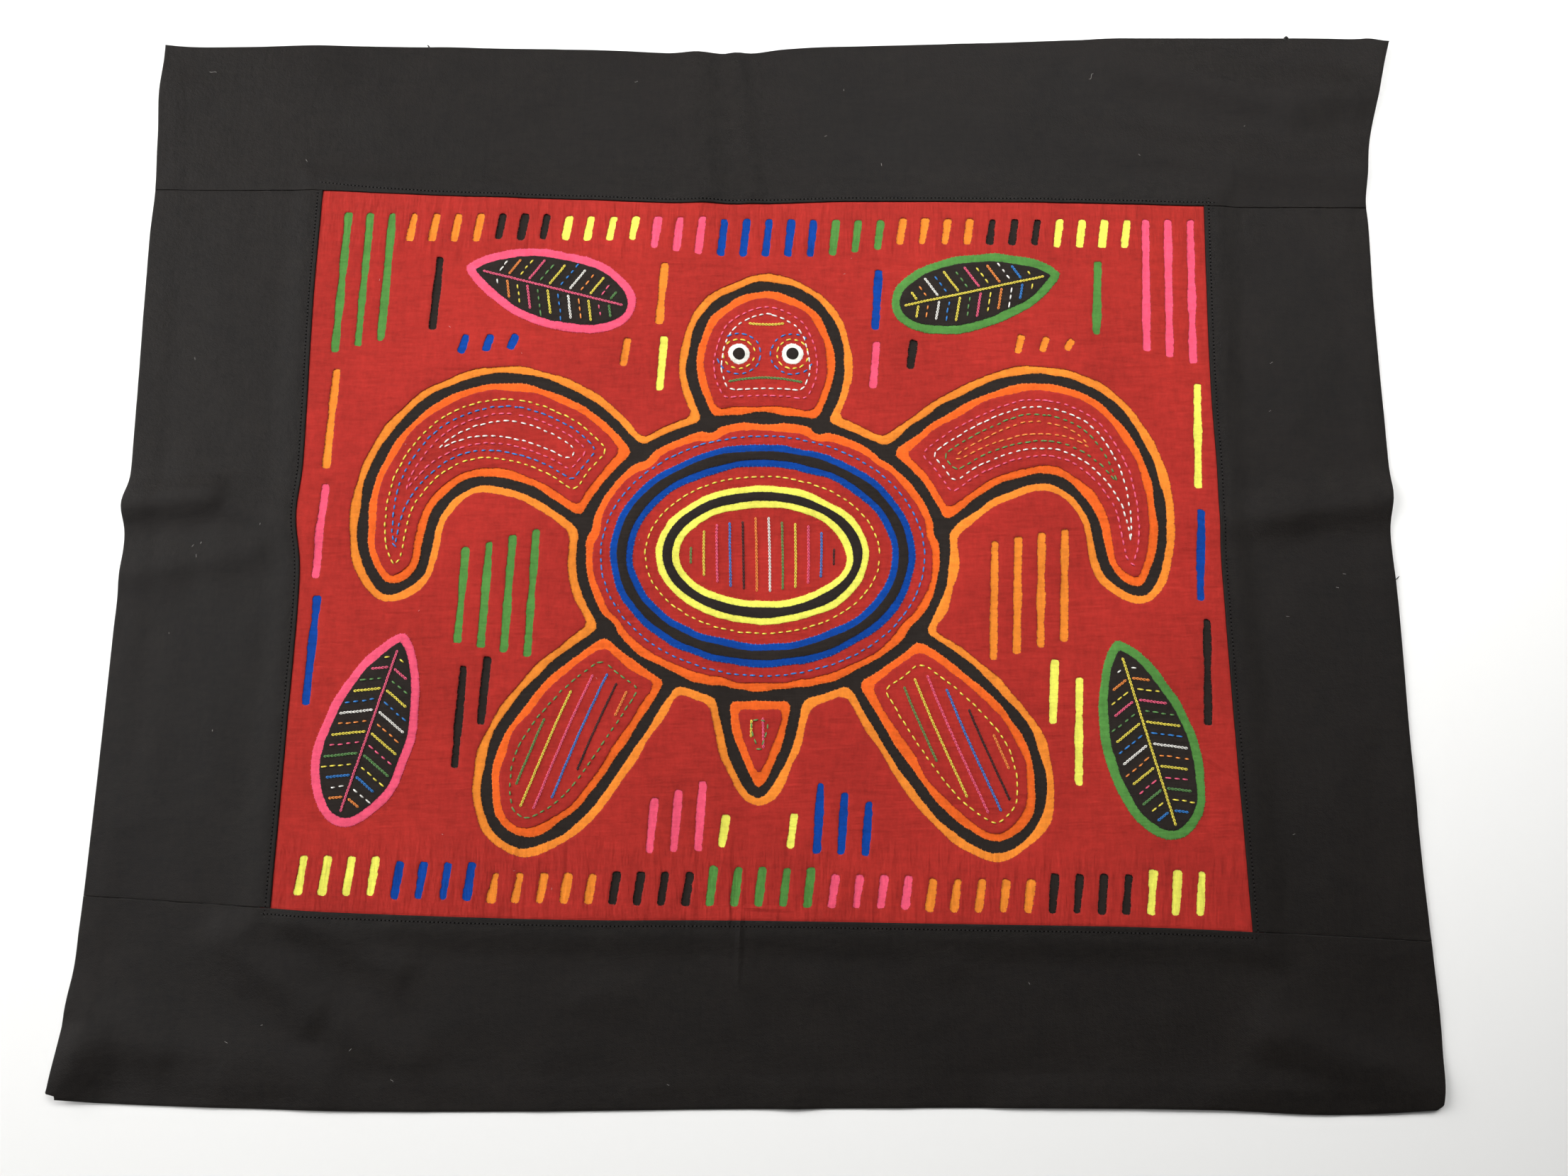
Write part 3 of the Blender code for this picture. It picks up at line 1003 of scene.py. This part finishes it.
def around_slit(low, high):
    """Distance from each place of the cutting grid to a straight slit's middle, its ends squared."""
    away = np.full(X.shape, REACH)
    middle, reach = (np.array(low) + high) / 2, (np.array(high) - low) / 2
    half = math.hypot(*reach)
    i0, j0 = ((middle - np.abs(reach) - REACH - (grid_x[0], grid_y[0])) / GRID).clip(0).astype(int)
    i1, j1 = ((middle + np.abs(reach) + REACH - (grid_x[0], grid_y[0])) / GRID).clip(0).astype(int)
    x, y = X[j0:j1, i0:i1] - middle[0], Y[j0:j1, i0:i1] - middle[1]
    past_end = np.abs(x * reach[0] + y * reach[1]) / half - half - SLIT + SLIT_CORNER
    aside = np.abs(x * reach[1] - y * reach[0]) / half - SLIT + SLIT_CORNER
    away[j0:j1, i0:i1] = np.hypot(np.maximum(past_end, 0), np.maximum(aside, 0)) + SLIT - SLIT_CORNER
    return away


slits = {}
for colour, x, low_y, high_y, count, step, low_step, high_step in SLIT_ROWS:
    for k in range(count):
        at = x + k * step
        low, high = (at, low_y + k * low_step), (at + SLIT_LEAN, high_y + k * high_step)
        slits.setdefault(colour, []).append((low, high))
slit_reach = {}
for colour, group in slits.items():
    slit_reach[colour] = np.minimum.reduce([around_slit(low, high) for low, high in group])

in_figure = np.logical_or.reduce([inside(outline, X, Y) for outline in outlines.values()])
orange_field = np.minimum.reduce([bands - CORE - hand_core, slit_reach["black"] - SLIT - 1.4, window])
orange_cotton = cotton("orange_cotton", (0.84, 0.225, 0.024))
deep_orange_cotton = cotton("deep_orange_cotton", (0.81, 0.116, 0.013))
outer_field = np.where(in_figure, -CORE, orange_field)
inner_field = np.where(in_figure, orange_field, -CORE)
orange_cloth = cut_cloth(
    "orange_cloth", outer_field, BASE_TOP, ORANGE_TOP, orange_cotton, grain=6.0
)
inner_orange = cut_cloth(
    "orange_in_the_figure", inner_field, BASE_TOP, ORANGE_TOP, deep_orange_cotton, grain=6.0
)


# Coloured patches: snippets of yellow, pink, blue and green cotton laid on the orange where the
# maker wants another colour to show through the slits of the red.
PATCH_TOP = 0.98
PATCH_MARGIN = 2.6
PATCH_COLOURS = {
    "yellow": (0.88, 0.80, 0.105),
    "pink": (0.90, 0.086, 0.165),
    "blue": (0.001, 0.046, 0.275),
    "green": (0.076, 0.231, 0.046),
}
cottons = {"orange": orange_cotton, "black": black_cotton}
for colour, shade in PATCH_COLOURS.items():
    cottons[colour] = cotton(colour + "_cotton", shade)
    field = SLIT + PATCH_MARGIN - slit_reach[colour]
    patches = cut_cloth(colour + "_patches", field, ORANGE_TOP, PATCH_TOP, cottons[colour], puff=0.0)


# Red top cloth: the face of the mola, cut along every line and slit and whipped down by hand
# with its raw edges turned under, so it stands a little proud and its edges are uneven.
RED_TOP = 1.40
all_slits = np.minimum.reduce(list(slit_reach.values()))
hand_slit = 0.22 * uneven(X, Y, 16, 44, 21) + 0.17 * uneven(X, Y, 2.6, 4.4, 23)
red_field = np.minimum.reduce([bands - BAND - hand_cut, all_slits - SLIT - hand_slit, window])
red_cotton = cotton("red_cotton", (0.357, 0.0225, 0.0163))
red_cloth = cut_cloth("red_cloth", red_field, PATCH_TOP + 0.02, RED_TOP, red_cotton, grain=4.5, sink=0.38)
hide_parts("mola_panel")


# Rings on the shell: a blue and a yellow oval ring of cotton sewn on the red, and a narrower black
# ring sewn on each, so that a line of colour shows on both sides of the black.
PIECE_TOP = 1.75
UPPER_TOP = 2.05
# Columns: colour, half width, half height, half breadth of the colour and of the black
RINGS = [("blue", 66.5, 48.0, 5.4, 2.2), ("yellow", 45.0, 28.0, 5.3, 2.15)]

sewn_on = {}
for number, (colour, half_width, half_height, breadth, black_breadth) in enumerate(RINGS):
    line = oval(SHELL_MIDDLE, (half_width, half_height))
    ring = distance_to(line)
    wander = 0.35 * uneven(X, Y, 12, 40, 41 + number) + 0.12 * uneven(X, Y, 3.4, 7, 43 + number)
    below_field, above_field = breadth + wander - ring, black_breadth + 0.6 * wander - ring
    below = cut_cloth(colour + "_ring", below_field, RED_TOP, PIECE_TOP, cottons[colour])
    above = cut_cloth("black_ring_on_" + colour, above_field, PIECE_TOP, UPPER_TOP, black_cotton)
    sewn_on[below.name] = (colour, below_field, RED_TOP, PIECE_TOP)
    sewn_on[above.name] = ("black", above_field, PIECE_TOP, UPPER_TOP)
    for piece, under, breadth in ((below, "red_cloth", breadth), (above, below.name, black_breadth)):
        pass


# Leaves: four leaf shapes of pink and green cotton sewn on the red with their edges turned under,
# each with a smaller black leaf sewn on it.
# Columns: name, colour, middle x, middle y, length, half width, angle of the tip in degrees
LEAVES = [
    ("lower_left_leaf", "pink", -178, -92, 92, 22.0, 74),
    ("lower_right_leaf", "green", 180, -92, 94, 21.5, 106),
    ("upper_left_leaf", "pink", -104, 124, 86, 20.0, 166),
    ("upper_right_leaf", "green", 104, 124, 84, 19.5, 13),
]
LEAF_BORDER = 4.0


def leaf_outline(middle, length, half_width, angle):
    """Closed outline of a leaf, blunt at its stalk and pointed at its tip."""
    t = 0.5 - 0.5 * np.cos(np.linspace(0, math.pi, 40))
    half = half_width * (t / 0.42) ** 0.5 * ((1 - t) / 0.58) ** 0.7
    along = np.concatenate([t, t[::-1]]) * length - length / 2
    aside = np.concatenate([-half, half[::-1]])
    c, s = math.cos(math.radians(angle)), math.sin(math.radians(angle))
    return np.column_stack([middle[0] + along * c - aside * s, middle[1] + along * s + aside * c])


leaf_fields = {}
for number, (name, colour, x, y, length, half_width, angle) in enumerate(LEAVES):
    outline = leaf_outline((x, y), length, half_width, angle)
    away = distance_to(closed(outline))
    wander = 0.35 * uneven(X, Y, 14, 40, 51 + number) + 0.12 * uneven(X, Y, 3.4, 7, 55 + number)
    leaf_field = np.where(inside(outline, X, Y), away, -away) + wander
    below = cut_cloth(name, leaf_field, RED_TOP, PIECE_TOP, cottons[colour])
    above = cut_cloth(name + "_black", leaf_field - LEAF_BORDER, PIECE_TOP, UPPER_TOP, black_cotton)
    leaf_fields[name] = leaf_field - LEAF_BORDER
    sewn_on[name] = (colour, leaf_field, RED_TOP, PIECE_TOP)
    sewn_on[name + "_black"] = ("black", leaf_field - LEAF_BORDER, PIECE_TOP, UPPER_TOP)
    (xs, ys), (next_xs, next_ys) = outline.T, np.roll(outline, -1, axis=0).T
    shape = abs(float((xs * next_ys - ys * next_xs).sum()) / 2)


# Eyes: two small rounds of white cotton sewn on the head, with a black round on each.
EYES = [(-11.0, 91.0), (15.0, 91.0)]
EYE_RADIUS = 5.2
PUPIL_RADIUS = 3.0

white_cotton = cotton("white_cotton", (0.80, 0.77, 0.68))
for side, (x, y) in zip(("left", "right"), EYES):
    eye = EYE_RADIUS - np.hypot(X - x, Y - y) + 0.2 * uneven(X, Y, 5, 12, 61)
    white = cut_cloth(side + "_eye", eye, RED_TOP, PIECE_TOP, white_cotton, spacing=0.9)
    pupil = cut_cloth(
        side + "_pupil", eye + PUPIL_RADIUS - EYE_RADIUS, PIECE_TOP, UPPER_TOP, black_cotton, spacing=0.9
    )
    sewn_on[side + "_eye"] = ("white", eye, RED_TOP, PIECE_TOP)


# Whip stitches: tiny slanting stitches in thread of the cloth's own colour that hold down every
# turned edge, and give the edges their slightly toothed look.
WHIP_PITCH = 2.15
WHIP_OUT = 0.38
WHIP_IN = 0.5
WHIP_SLANT = 0.35
WHIP_HALF = 0.18
WHIP_HUMP = 0.16


def whip(name, field, low, high, material):
    """Whip stitches along every edge of a cloth that isn't tucked under the strips."""
    slope_y, slope_x = np.gradient(field, GRID)
    starts, ends = [], []
    for loop in trace(field):
        places, _ = walk(closed(loop), WHIP_PITCH, 0.5 * WHIP_PITCH)
        places = places[from_window(*places.T) < -1.0]
        if not len(places):
            continue
        lean = np.column_stack([read_field(slope_x, *places.T), read_field(slope_y, *places.T)])
        lean /= np.maximum(np.hypot(*lean.T), 1e-6)[:, None]
        slant = WHIP_SLANT * np.column_stack([-lean[:, 1], lean[:, 0]])
        way_in = lean + slant
        starts.append(np.column_stack([places - WHIP_OUT * way_in, np.full(len(places), low)]))
        ends.append(np.column_stack([places + WHIP_IN * way_in, np.full(len(places), high)]))
    starts, ends = np.concatenate(starts), np.concatenate(ends)
    return sew(name, starts, ends, WHIP_HALF, WHIP_HUMP, material, TINY_STITCH)


red_thread = thread("red_thread", (0.27, 0.021, 0.017))
red_whips = whip("red_whip_stitches", red_field, ORANGE_TOP, RED_TOP, red_thread)
SPOOLS = {
    "yellow": (0.80, 0.66, 0.07),
    "blue": (0.02, 0.19, 0.55),
    "pink": (0.80, 0.10, 0.20),
    "white": (0.82, 0.80, 0.74),
    "green": (0.10, 0.26, 0.07),
    "orange": (0.82, 0.25, 0.04),
}
threads = {colour: thread(colour + "_thread", shade) for colour, shade in SPOOLS.items()}
threads["black"] = black_thread
whip("orange_whip_stitches", orange_field, BASE_TOP, ORANGE_TOP, threads["orange"])
for name, (colour, field, low, high) in sewn_on.items():
    whip(name + "_whip_stitches", field, low, high, threads[colour])


# Embroidery: running stitches that follow the outlines inside head, flippers and shell, and lines
# of chain stitch on the rear flippers, the shell and the leaves, in threads of many colours.
RUN_PITCH = 3.8
RUN_LENGTH = 2.5
RUN_HALF = 0.43
RUN_HUMP = 0.12
LINK = 1.55
LINK_HALF = 0.26
LINK_HUMP = 0.1
LINK_BOW = 0.40
LINK_OVERLAP = 0.35
ON_RED = RED_TOP + 0.10
ON_BLACK = UPPER_TOP + 0.10
hand = np.random.default_rng(7)
runs = {}
links = {}


def run(colour, line, height, keep=None):
    """Running stitches along a line where a test holds, a little uneven as hand sewing is."""
    places, way = walk(line, RUN_PITCH, 0.6 * RUN_PITCH)
    if keep is not None:
        kept = keep(*places.T)
        places, way = places[kept], way[kept]
    half = 0.5 * (RUN_LENGTH + hand.uniform(-0.6, 0.6, (len(places), 1)))
    places = places + hand.uniform(-0.2, 0.2, places.shape)
    level = np.full((len(places), 1), height)
    starts, ends = runs.setdefault(colour, ([], []))
    starts.extend(np.hstack([places - way * half, level]))
    ends.extend(np.hstack([places + way * half, level]))


def chain(colour, line, height):
    """Chain stitch along a line: a row of looped links, each from the end of the last."""
    if len(line) < 6:
        return
    places, way = walk(line, LINK)
    places = places + hand.uniform(-0.09, 0.09, places.shape)
    level = np.full((len(places) - 1, 1), height)
    starts, ends = links.setdefault(colour, ([], []))
    starts.extend(np.hstack([places[:-1], level]))
    ends.extend(np.hstack([places[1:] + LINK_OVERLAP * way[:-1], level]))


def within_limb(name, margin):
    """Test for places inside a limb's outline and clear of its bands."""
    outline = outlines[name]
    return lambda x, y: inside(outline, x, y) & (read_field(bands, x, y) > margin)


def columns_within(test, middle_x, low_y, high_y, first, last, pitch, lean):
    """Parts of leaning columns that pass a test, from left to right."""
    found = []
    for shift in np.arange(first, last + 0.1, pitch):
        y = np.arange(low_y, high_y, 1.0)
        x = middle_x + shift + lean * (y - (low_y + high_y) / 2) + 0.8 * np.sin(y / 19 + shift)
        passed = test(x, y)
        if passed.sum() > 6:
            found.append(np.column_stack([x, y])[passed])
    return found


contour_levels = (11.0, 14.6, 18.2, 21.8)
contour_colours = ("yellow", "blue", "pink", "white", "green", "orange")
level_loops = {level: trace(bands, level) for level in contour_levels}
for number, limb in enumerate(limbs):
    count = 1 if "rear" in limb else 2 if limb == "head" else len(contour_levels)
    for n, level in enumerate(contour_levels[:count]):
        colour = contour_colours[(2 * number + n) % len(contour_colours)]
        for loop in level_loops[level]:
            probes = np.vstack([loop.mean(axis=0), loop[0]])
            if inside(outlines[limb], *probes.T).any():
                run(colour, closed(loop), ON_RED, within_limb(limb, level - 1.5))

chain_colours = ("green", "yellow", "pink", "blue", "black", "orange", "white")
centre_x, centre_y = SHELL_MIDDLE


def in_inner_oval(x, y):
    """Test for places inside the yellow ring."""
    return np.hypot((x - centre_x) / 35.0, (y - centre_y) / 18.5) < 1


# Columns of chain stitch: test, middle x, low y, high y, first, last, pitch, lean, first colour
for *column, first_colour in (
    (within_limb("left_rear", 13.5), -92, -136, -62, -42, 42, 6.4, 0.42, 0),
    (within_limb("right_rear", 13.5), 98, -136, -62, -42, 42, 6.4, -0.42, 0),
    (within_limb("tail", 9.5), 2, -108, -72, -8, 8, 5.0, 0.0, 1),
    (in_inner_oval, centre_x, -30, 14, -33, 33, 6.0, 0.0, 0),
):
    for n, line in enumerate(columns_within(*column)):
        chain(chain_colours[(n + first_colour) % len(chain_colours)], line, ON_RED)
run("yellow", oval(SHELL_MIDDLE, (55.3, 37.7)), ON_RED)
run("blue", oval(SHELL_MIDDLE, (76.4, 57.6)), ON_RED)
for x, y in EYES:
    run("yellow", oval((x, y), (7.6, 7.4)), ON_RED)
    run("blue", oval((x, y), (10.6, 10.2)), ON_RED, within_limb("head", 13))
for n, (colour, y) in enumerate((("green", 76), ("pink", 70), ("orange", 64), ("yellow", 109))):
    x = np.linspace(-30, 34, 64)
    line = np.column_stack([x, y + 3.0 * np.cos((x - 2) / 14) * (1 if n < 3 else -1)])
    chain(colour, line[within_limb("head", 16)(*line.T)], ON_RED)

VEIN_COLOURS = ("pink", "yellow", "orange", "white", "blue", "yellow", "green")
for number, (name, colour, x, y, length, half_width, angle) in enumerate(LEAVES):
    c, s = math.cos(math.radians(angle)), math.sin(math.radians(angle))
    field = leaf_fields[name]
    t = np.arange(-length / 2, length / 2, 1.0)
    rib = np.column_stack([x + t * c, y + t * s])
    chain(("pink", "yellow")[number % 2], rib[read_field(field, *rib.T) > 1.6], ON_BLACK)
    for n, foot in enumerate(np.arange(-length / 2 + 3, length / 2 - 8, 5.2)):
        for side in (-1, 1):
            reach = np.arange(1.4, half_width + 4, 0.8)
            u, v = foot - 0.42 * reach, side * reach
            vein = np.column_stack([x + u * c - v * s, y + u * s + v * c])
            vein = vein[read_field(field, *vein.T) > 1.3]
            if len(vein) < 5:
                continue
            tone = VEIN_COLOURS[(n + 2 * number) % len(VEIN_COLOURS)]
            if n % 2:
                run(tone, vein, ON_BLACK)
            else:
                chain(tone, vein, ON_BLACK)

for colour, (starts, ends) in runs.items():
    sew(colour + "_running_stitches", starts, ends, RUN_HALF, RUN_HUMP, threads[colour])
for colour, (starts, ends) in links.items():
    bows = np.repeat((LINK_BOW, -LINK_BOW), len(starts))
    starts, ends = np.tile(starts, (2, 1)), np.tile(ends, (2, 1))
    name = colour + "_chain_stitches"
    sew(name, starts, ends, LINK_HALF, LINK_HUMP, threads[colour], bows=bows)


# Lint and thread ends: pale fibres that cling to the twill and the red, and three short ends of
# black thread that were left at the outer hems.
LINT_COUNT = 26
RED_LINT_COUNT = 22
LINT_RADIUS = 0.055
# Fibres that show most, columns: strip, middle x, middle y, length, turn in degrees, bend
LONG_LINT = [("top_strip", -281.0, 238.5, 3.6, -24, 0.7), ("top_strip", 163.0, 238.5, 3.4, 34, 0.9)]
# Thread ends: radius, then x and y of each place from under the hem outwards
THREAD_ENDS = [
    (0.42, [(-171.4, 251.8), (-171.8, 253.0), (-172.5, 254.1), (-173.0, 254.5)]),
    (0.62, [(260.4, 259.0), (260.8, 260.3), (261.5, 260.9), (262.2, 260.3), (262.6, 259.0)]),
    (0.20, [(296.9, -16.9), (298.0, -16.7), (299.0, -16.0), (299.7, -15.2), (300.1, -15.0)]),
]


def strands(name, lines, radii, material, sides=5):
    """One mesh of round fibres along lines of places."""
    points, faces = [], []
    for line, radius in zip(lines, radii):
        line = np.array(line, float)
        way = np.gradient(line, axis=0)
        way /= np.linalg.norm(way, axis=1)[:, None]
        aside = np.cross(way, (0, 0, 1))
        aside /= np.linalg.norm(aside, axis=1)[:, None]
        above = np.cross(aside, way)
        start = len(points)
        for k in range(len(line)):
            thin = radius * (0.6 if k in (0, len(line) - 1) else 1.0)
            for turn in np.arange(sides) * math.tau / sides:
                points.append(line[k] + thin * (math.cos(turn) * aside[k] + math.sin(turn) * above[k]))
        for k in range(len(line) - 1):
            for n in range(sides):
                a, b = start + k * sides + n, start + k * sides + (n + 1) % sides
                faces.append((a, a + sides, b + sides, b))
        faces.append(tuple(start + n for n in range(sides)))
        faces.append(tuple(start + (len(line) - 1) * sides + n for n in reversed(range(sides))))
    return dress(smooth(add_mesh(name, points, faces), 80), material)


def on_cloth(piece, x, y, raised):
    """Place on top of a piece, in millimetres."""
    found, hit, _, _ = piece.ray_cast(((x - MIDDLE[0]) * MM, (y - MIDDLE[1]) * MM, 0.05), (0, 0, -1))
    return (x, y, hit.z / MM + raised) if found else None


scatter = np.random.default_rng(19)
lint_table = list(LONG_LINT)
for n in range(LINT_COUNT):
    piece = ("top_strip", "left_strip", "bottom_strip", "right_strip")[n % 4]
    far = scatter.uniform(16, 74)
    at = scatter.uniform(-280, 280) * (0.55 if piece in ("left_strip", "right_strip") else 1.0)
    middle = {
        "top_strip": (at, 172 + far), "bottom_strip": (at, -177 - far),
        "left_strip": (-219 - far, at), "right_strip": (219 + far, at),
    }[piece]
    shape = scatter.uniform(0.5, 1.6), scatter.uniform(0, 180), scatter.uniform(0, 0.5)
    lint_table.append((piece, *middle, *shape))
for _ in range(RED_LINT_COUNT):
    x, y = scatter.uniform(-210, 208), scatter.uniform(-168, 162)
    shape = scatter.uniform(0.4, 1.2), scatter.uniform(0, 180), scatter.uniform(0, 0.4)
    lint_table.append(("red_cloth", x, y, *shape))
linted = {**strips, "red_cloth": red_cloth}
fibres = []
for piece, x, y, length, turn, bend in lint_table:
    t = np.linspace(-0.5, 0.5, 7)
    u, v = length * t, bend * np.sin(5.0 * t)
    c, s = math.cos(math.radians(turn)), math.sin(math.radians(turn))
    places = [(x + a * c - b * s, y + a * s + b * c) for a, b in zip(u, v)]
    line = [on_cloth(linted[piece], *place, LINT_RADIUS) for place in places]
    if None not in line and (piece != "red_cloth" or min(z for _, _, z in line) > RED_TOP - 0.1):
        fibres.append(line)
lint_pale = thread("pale_lint", (0.55, 0.54, 0.50))
strands("lint", fibres, [LINT_RADIUS] * len(fibres), lint_pale)
radii = [radius for radius, _ in THREAD_ENDS]
ends = [
    [(x, y, radius + 0.5 * (1 - n / len(line))) for n, (x, y) in enumerate(line)]
    for radius, line in THREAD_ENDS
]
strands("thread_ends", ends, radii, black_thread)


# Floor and light: a plain pale table and three soft lights, the widest at the left and two over
# the panel's far side, as it was photographed indoors by day with the window beyond it.
bpy.ops.mesh.primitive_plane_add(size=6.0, location=(0, 0, -0.0004))
floor = bpy.context.object
floor.name = "floor"
floor_paint = bpy.data.materials.new("pale_floor")
floor_paint.use_nodes = True
floor_shader = floor_paint.node_tree.nodes["Principled BSDF"]
floor_shader.inputs["Base Color"].default_value = (0.86, 0.855, 0.84, 1)
floor_shader.inputs["Roughness"].default_value = 0.9
floor.data.materials.append(floor_paint)

# Lights, columns: name, place and aim in metres, side in metres, power in watts, spread in degrees
LIGHTS = [
    ("left_light", (-1.25, 0.30, 0.85), (0.0, 0.0, 0.0), 1.2, 30.0, 180),
    ("far_light", (0.05, 0.85, 1.25), (0.0, 0.26, 0.0), 0.7, 1.9, 64),
    ("far_right_light", (0.60, 0.80, 1.25), (0.28, 0.24, 0.0), 0.7, 2.5, 64),
]
for name, place, aim, side, power, spread in LIGHTS:
    bpy.ops.object.light_add(type="AREA", location=place)
    lamp = bpy.context.object
    lamp.name = name
    lamp.data.size = side
    lamp.data.energy = power
    lamp.data.spread = math.radians(spread)
    lamp.rotation_euler = (Vector(aim) - Vector(place)).to_track_quat("-Z", "Y").to_euler()
world = bpy.data.worlds.new("room")
world.use_nodes = True
room_light = world.node_tree.nodes["Background"]
room_light.inputs["Color"].default_value = (0.95, 0.97, 1.0, 1)
room_light.inputs["Strength"].default_value = 0.02
bpy.context.scene.world = world
bpy.context.scene.view_settings.view_transform = "Standard"
